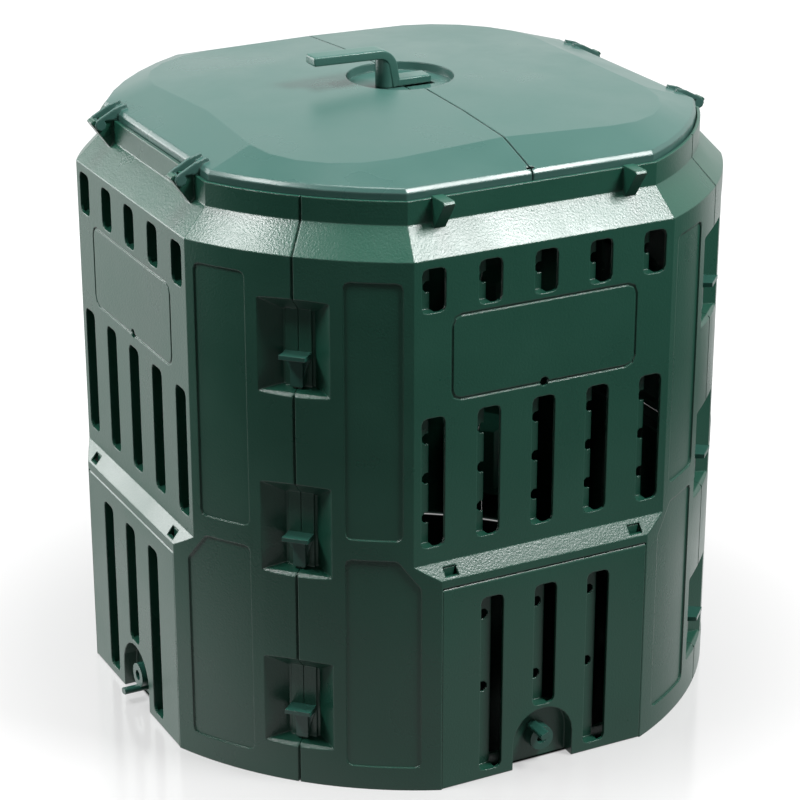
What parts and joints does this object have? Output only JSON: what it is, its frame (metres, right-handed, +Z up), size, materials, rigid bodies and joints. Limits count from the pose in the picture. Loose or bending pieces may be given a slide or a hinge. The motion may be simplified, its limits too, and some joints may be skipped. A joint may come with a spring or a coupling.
{
  "type": "compost bin",
  "caption": "Square garden compost bin with rounded corners: slotted wall panels joined by seam clips, hooked doors with turn knobs, and a two-leaf lid with a turning handle",
  "frame": {"origin": "centre of the footprint on the ground", "axes": "+Z up, front wall faces -Y, left wall faces -X, lid leaves hinge on the left and right walls"},
  "size_m": [0.778, 0.778, 0.799],
  "materials": {
    "panel_green": "satin",
    "lid_green": "satin",
    "trim_green": "satin"
  },
  "bodies": {
    "bin": {"wall_front": "panel_green", "wall_left": "panel_green", "wall_back": "panel_green", "wall_right": "panel_green"},
    "lid_left": {"lid_left": "lid_green"},
    "lid_right": {"lid_right": "lid_green"},
    "handle": {"handle": "trim_green", "handle_washer": "trim_green"},
    "door_front": {"door_front": "panel_green"},
    "knob_front": {"knob_front": "trim_green"},
    "door_left": {"door_left": "panel_green"},
    "knob_left": {"knob_left": "trim_green"},
    "door_back": {"door_back": "panel_green"},
    "knob_back": {"knob_back": "trim_green"},
    "door_right": {"door_right": "panel_green"},
    "knob_right": {"knob_right": "trim_green"},
    "clip_front_left_low": {"clip_front_left_low": "trim_green"},
    "clip_front_left_middle": {"clip_front_left_middle": "trim_green"},
    "clip_front_left_high": {"clip_front_left_high": "trim_green"},
    "clip_back_left_low": {"clip_back_left_low": "trim_green"},
    "clip_back_left_middle": {"clip_back_left_middle": "trim_green"},
    "clip_back_left_high": {"clip_back_left_high": "trim_green"},
    "clip_back_right_low": {"clip_back_right_low": "trim_green"},
    "clip_back_right_middle": {"clip_back_right_middle": "trim_green"},
    "clip_back_right_high": {"clip_back_right_high": "trim_green"},
    "clip_front_right_low": {"clip_front_right_low": "trim_green"},
    "clip_front_right_middle": {"clip_front_right_middle": "trim_green"},
    "clip_front_right_high": {"clip_front_right_high": "trim_green"}
  },
  "joints": [
    {"name": "lid_left_open", "type": "hinge", "parent": "bin", "child": "lid_left", "pos_m": [-0.343, 0, 0.7115], "axis": [0, -1, 0], "range_deg": [0, 100]},
    {"name": "lid_right_open", "type": "hinge", "parent": "bin", "child": "lid_right", "pos_m": [0.343, 0, 0.7115], "axis": [0, 1, 0], "range_deg": [0, 100]},
    {"name": "handle_turn", "type": "hinge", "parent": "lid_left", "child": "handle", "pos_m": [-0.02, 0, 0.75], "axis": [0, 0, 1], "range_deg": [0, 90]},
    {"name": "door_front_swing", "type": "hinge", "parent": "bin", "child": "door_front", "pos_m": [0, -0.366, 0.257], "axis": [-1, 0, 0], "range_deg": [0, 30]},
    {"name": "knob_front_turn", "type": "hinge", "parent": "door_front", "child": "knob_front", "pos_m": [0, -0.36, 0.033], "axis": [0, -1, 0], "range_deg": [-115, 0]},
    {"name": "door_left_swing", "type": "hinge", "parent": "bin", "child": "door_left", "pos_m": [-0.366, 0, 0.257], "axis": [0, 1, 0], "range_deg": [0, 30]},
    {"name": "knob_left_turn", "type": "hinge", "parent": "door_left", "child": "knob_left", "pos_m": [-0.36, 0, 0.033], "axis": [-1, 0, 0], "range_deg": [0, 80]},
    {"name": "door_back_swing", "type": "hinge", "parent": "bin", "child": "door_back", "pos_m": [0, 0.366, 0.257], "axis": [1, 0, 0], "range_deg": [0, 30]},
    {"name": "knob_back_turn", "type": "hinge", "parent": "door_back", "child": "knob_back", "pos_m": [0, 0.36, 0.033], "axis": [0, 1, 0], "range_deg": [-115, 0]},
    {"name": "door_right_swing", "type": "hinge", "parent": "bin", "child": "door_right", "pos_m": [0.366, 0, 0.257], "axis": [0, -1, 0], "range_deg": [0, 30]},
    {"name": "knob_right_turn", "type": "hinge", "parent": "door_right", "child": "knob_right", "pos_m": [0.36, 0, 0.033], "axis": [1, 0, 0], "range_deg": [0, 80]},
    {"name": "clip_front_left_low_lift", "type": "slide", "parent": "bin", "child": "clip_front_left_low", "axis": [0, 0, 1], "range_m": [0, 0.045]},
    {"name": "clip_front_left_middle_lift", "type": "slide", "parent": "bin", "child": "clip_front_left_middle", "axis": [0, 0, 1], "range_m": [0, 0.045]},
    {"name": "clip_front_left_high_lift", "type": "slide", "parent": "bin", "child": "clip_front_left_high", "axis": [0, 0, 1], "range_m": [0, 0.045]},
    {"name": "clip_back_left_low_lift", "type": "slide", "parent": "bin", "child": "clip_back_left_low", "axis": [0, 0, 1], "range_m": [0, 0.045]},
    {"name": "clip_back_left_middle_lift", "type": "slide", "parent": "bin", "child": "clip_back_left_middle", "axis": [0, 0, 1], "range_m": [0, 0.045]},
    {"name": "clip_back_left_high_lift", "type": "slide", "parent": "bin", "child": "clip_back_left_high", "axis": [0, 0, 1], "range_m": [0, 0.045]},
    {"name": "clip_back_right_low_lift", "type": "slide", "parent": "bin", "child": "clip_back_right_low", "axis": [0, 0, 1], "range_m": [0, 0.045]},
    {"name": "clip_back_right_middle_lift", "type": "slide", "parent": "bin", "child": "clip_back_right_middle", "axis": [0, 0, 1], "range_m": [0, 0.045]},
    {"name": "clip_back_right_high_lift", "type": "slide", "parent": "bin", "child": "clip_back_right_high", "axis": [0, 0, 1], "range_m": [0, 0.045]},
    {"name": "clip_front_right_low_lift", "type": "slide", "parent": "bin", "child": "clip_front_right_low", "axis": [0, 0, 1], "range_m": [0, 0.045]},
    {"name": "clip_front_right_middle_lift", "type": "slide", "parent": "bin", "child": "clip_front_right_middle", "axis": [0, 0, 1], "range_m": [0, 0.045]},
    {"name": "clip_front_right_high_lift", "type": "slide", "parent": "bin", "child": "clip_front_right_high", "axis": [0, 0, 1], "range_m": [0, 0.045]}
  ]
}
